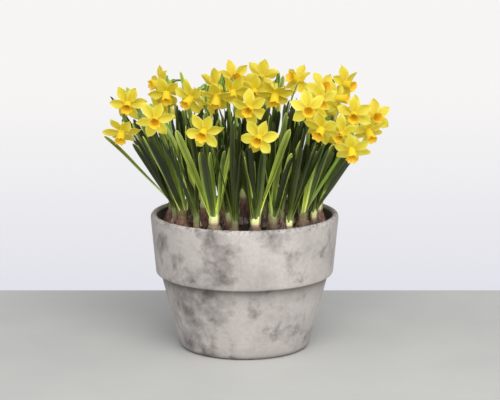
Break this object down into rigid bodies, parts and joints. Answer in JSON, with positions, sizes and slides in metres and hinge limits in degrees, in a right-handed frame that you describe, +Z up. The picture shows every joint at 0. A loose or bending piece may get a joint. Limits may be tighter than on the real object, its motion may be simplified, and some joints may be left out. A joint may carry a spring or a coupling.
{
  "type": "potted miniature daffodils",
  "caption": "Weathered clay pot with a thick band below its rim, planted with bulbs in leaf and miniature yellow daffodils in full flower.",
  "frame": {"origin": "centre of the pot's underside", "axes": "+Z up along the pot's axis, -Y towards the viewer of the picture, +X to their right"},
  "size_m": [0.3836, 0.3265, 0.3741],
  "materials": {
    "pot": "unglazed clay with a mottled grey limewash",
    "soil": "moist dark potting compost",
    "bulb": "papery brown skins",
    "foliage": "fresh green, satin",
    "flower": "soft yellow, matt"
  },
  "bodies": {
    "root": {"pot": "pot", "soil": "soil", "bulb_01": "bulb", "bulb_02": "bulb", "bulb_03": "bulb", "bulb_04": "bulb", "bulb_05": "bulb", "bulb_06": "bulb", "bulb_07": "bulb", "bulb_08": "bulb", "bulb_09": "bulb", "bulb_10": "bulb", "bulb_11": "bulb", "bulb_12": "bulb", "foliage_01": "foliage", "foliage_02": "foliage", "foliage_03": "foliage", "foliage_04": "foliage", "foliage_05": "foliage", "foliage_06": "foliage", "foliage_07": "foliage", "foliage_08": "foliage", "foliage_09": "foliage", "foliage_10": "foliage", "foliage_11": "foliage", "foliage_12": "foliage", "foliage_13": "foliage", "foliage_14": "foliage", "flower_01": "flower", "flower_02": "flower", "flower_03": "flower", "flower_04": "flower", "flower_05": "flower", "flower_06": "flower", "flower_07": "flower", "flower_08": "flower", "flower_09": "flower", "flower_10": "flower", "flower_11": "flower", "flower_12": "flower", "flower_13": "flower", "flower_14": "flower", "flower_15": "flower", "flower_16": "flower", "flower_17": "flower", "flower_18": "flower", "flower_19": "flower", "flower_20": "flower", "flower_21": "flower", "flower_22": "flower", "flower_23": "flower", "flower_24": "flower", "flower_25": "flower", "flower_26": "flower", "flower_27": "flower", "flower_28": "flower", "flower_29": "flower", "flower_30": "flower", "flower_31": "flower", "flower_32": "flower"}
  },
  "joints": []
}
